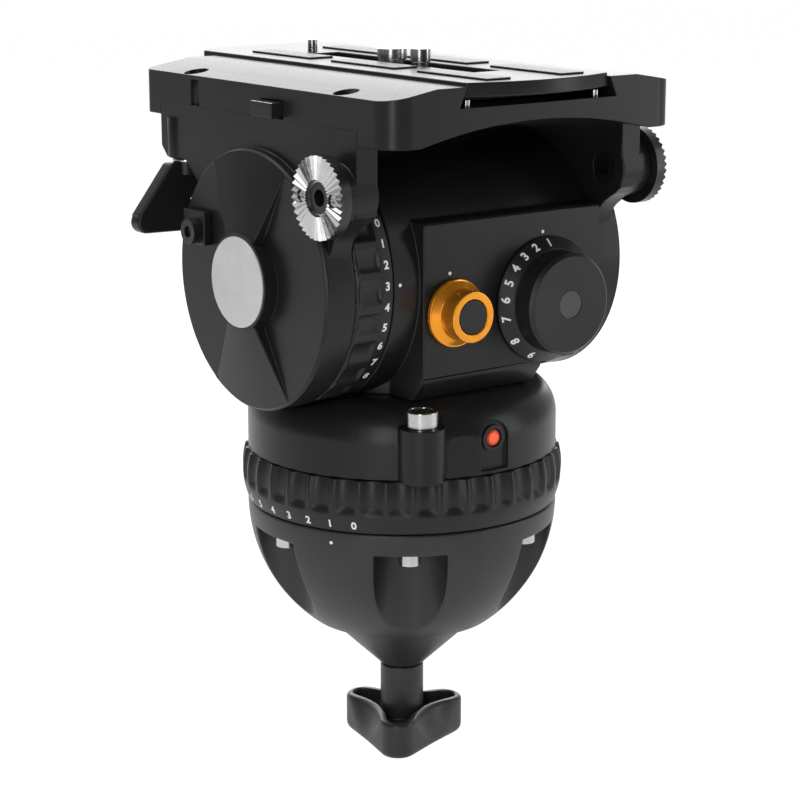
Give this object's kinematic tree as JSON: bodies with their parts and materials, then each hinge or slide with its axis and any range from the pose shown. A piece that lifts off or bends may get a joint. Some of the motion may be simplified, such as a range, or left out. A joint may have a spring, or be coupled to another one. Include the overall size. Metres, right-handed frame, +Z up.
{
  "type": "fluid video head",
  "caption": "Fluid video head with half-ball base, tie-down knob, pan and tilt drag rings, counterbalance dial and sliding camera plate on a two-armed tilt platform.",
  "frame": {"origin": "centre of the half ball, on the pan axis", "axes": "+Z up along the pan axis, -Y towards the dial panel, tilt axis along X"},
  "size_m": [0.1325, 0.151, 0.2293],
  "materials": {
    "black_alu": "satin black anodised",
    "black_plastic": "matte black moulding",
    "silver_alu": "satin",
    "orange_alu": "satin orange anodised",
    "steel": "turned and ground",
    "bright_steel": "bright",
    "dark_steel": "blackened",
    "spring_steel": "oiled",
    "base_alu": "machined",
    "bronze": "plain bearing",
    "disc_brass": "flat ground",
    "rubber": "matt",
    "vial": "tinted green, filled",
    "light": "translucent orange-red"
  },
  "bodies": {
    "ball": {"half_ball": "black_alu", "ball_screws": "bright_steel", "pan_base": "base_alu", "pan_spindle": "steel", "spindle_nut": "dark_steel", "pan_stators": "disc_brass", "tie_stud": "steel"},
    "pan_ring": {"pan_drag_ring": "black_plastic"},
    "tie_cup": {"tie_cup": "black_alu"},
    "tie_knob": {"tie_knob": "black_plastic"},
    "pan": {"pan_housing": "black_alu", "pan_bushes": "bronze", "pan_rotors": "disc_brass", "housing_screws": "dark_steel", "level_body": "bright_steel", "level_vial": "vial", "light_bezel": "black_plastic", "tilt_body": "black_alu", "tilt_bushes": "bronze", "tilt_stators": "disc_brass"},
    "light_button": {"light_button": "light"},
    "tilt_ring": {"tilt_drag_ring": "black_plastic"},
    "selector": {"selector_knob": "orange_alu", "selector_inset": "black_plastic", "selector_spindle": "steel"},
    "dial": {"balance_dial": "black_plastic", "balance_cap": "dark_steel", "balance_spindle": "steel"},
    "tilt": {"tilt_shaft": "steel", "tilt_rotors": "disc_brass", "balance_springs": "spring_steel", "left_arm": "black_alu", "right_arm": "black_alu", "shaft_screws": "bright_steel", "left_badge": "silver_alu", "right_cover": "black_plastic", "hub_stop": "black_alu", "hub_stop_screw": "dark_steel", "left_rosette": "bright_steel", "right_rosette": "bright_steel", "rosette_inserts": "dark_steel", "rosette_screws": "bright_steel", "platform": "black_alu", "platform_screws": "dark_steel", "stop_pins": "bright_steel"},
    "clamp": {"clamp_lever": "black_alu", "clamp_spindle": "steel", "clamp_washers": "bright_steel"},
    "clamp_shoe": {"clamp_shoe": "bronze"},
    "safety_tab": {"safety_tab": "black_plastic"},
    "plate": {"camera_plate": "black_alu", "plate_pads": "rubber"},
    "screw_small": {"screw_small": "bright_steel"},
    "screw_large": {"screw_large": "bright_steel"},
    "plate_pin": {"plate_pin": "bright_steel"}
  },
  "joints": [
    {"name": "pan_drag", "type": "hinge", "parent": "ball", "child": "pan_ring", "pos_m": [0, 0, 0.0085], "axis": [0, 0, 1], "range_deg": [-9, 72]},
    {"name": "tie_travel", "type": "slide", "parent": "ball", "child": "tie_cup", "axis": [0, 0, 1], "range_m": [-0.009, 0]},
    {"name": "tie_turn", "type": "hinge", "parent": "tie_cup", "child": "tie_knob", "pos_m": [0, 0, -0.07], "axis": [0, 0, 1], "range_deg": [-2160, 0]},
    {"name": "pan", "type": "hinge", "parent": "ball", "child": "pan", "pos_m": [0, 0, 0.03], "axis": [0, 0, 1], "continuous": true},
    {"name": "light", "type": "slide", "parent": "pan", "child": "light_button", "axis": [0.0349, 0.9994, 0], "range_m": [0, 0.0012], "stiffness_N_per_m": 400, "springref_m": -0.002},
    {"name": "tilt_drag", "type": "hinge", "parent": "pan", "child": "tilt_ring", "pos_m": [-0.04, 0, 0.0765], "axis": [1, 0, 0], "range_deg": [-57, 28.5]},
    {"name": "selector", "type": "hinge", "parent": "pan", "child": "selector", "pos_m": [-0.0119, -0.0468, 0.0677], "axis": [0, 1, 0], "range_deg": [0, 90]},
    {"name": "balance", "type": "hinge", "parent": "pan", "child": "dial", "pos_m": [0.0245, -0.048, 0.0677], "axis": [0, 1, 0], "range_deg": [0, 160]},
    {"name": "tilt", "type": "hinge", "parent": "pan", "child": "tilt", "pos_m": [0, 0, 0.0765], "axis": [1, 0, 0], "range_deg": [-75, 50]},
    {"name": "clamp", "type": "hinge", "parent": "tilt", "child": "clamp", "pos_m": [-0.0496, 0.048, 0.11], "axis": [0, 0, 1], "range_deg": [-75, 0]},
    {"name": "shoe", "type": "slide", "parent": "tilt", "child": "clamp_shoe", "axis": [1, 0, 0], "range_m": [-0.00037, 0]},
    {"name": "safety", "type": "slide", "parent": "tilt", "child": "safety_tab", "axis": [1, 0, 0], "range_m": [0, 0.0025], "stiffness_N_per_m": 400, "springref_m": -0.002},
    {"name": "plate", "type": "slide", "parent": "tilt", "child": "plate", "axis": [0, 1, 0], "range_m": [-0.03, 0.03]},
    {"name": "small_turn", "type": "hinge", "parent": "plate", "child": "screw_small", "pos_m": [0, -0.0095, 0.138], "axis": [0, 0, 1], "continuous": true},
    {"name": "large_turn", "type": "hinge", "parent": "plate", "child": "screw_large", "pos_m": [0, 0.005, 0.138], "axis": [0, 0, 1], "continuous": true},
    {"name": "pin_press", "type": "slide", "parent": "plate", "child": "plate_pin", "axis": [0, 0, -1], "range_m": [0, 0.0033], "stiffness_N_per_m": 300, "springref_m": -0.002}
  ],
  "couplings": [
    {"joint": "tie_turn", "follows": "tie_travel", "rad_per_m": 4188.8},
    {"joint": "clamp", "follows": "shoe", "rad_per_m": 3537.8}
  ]
}
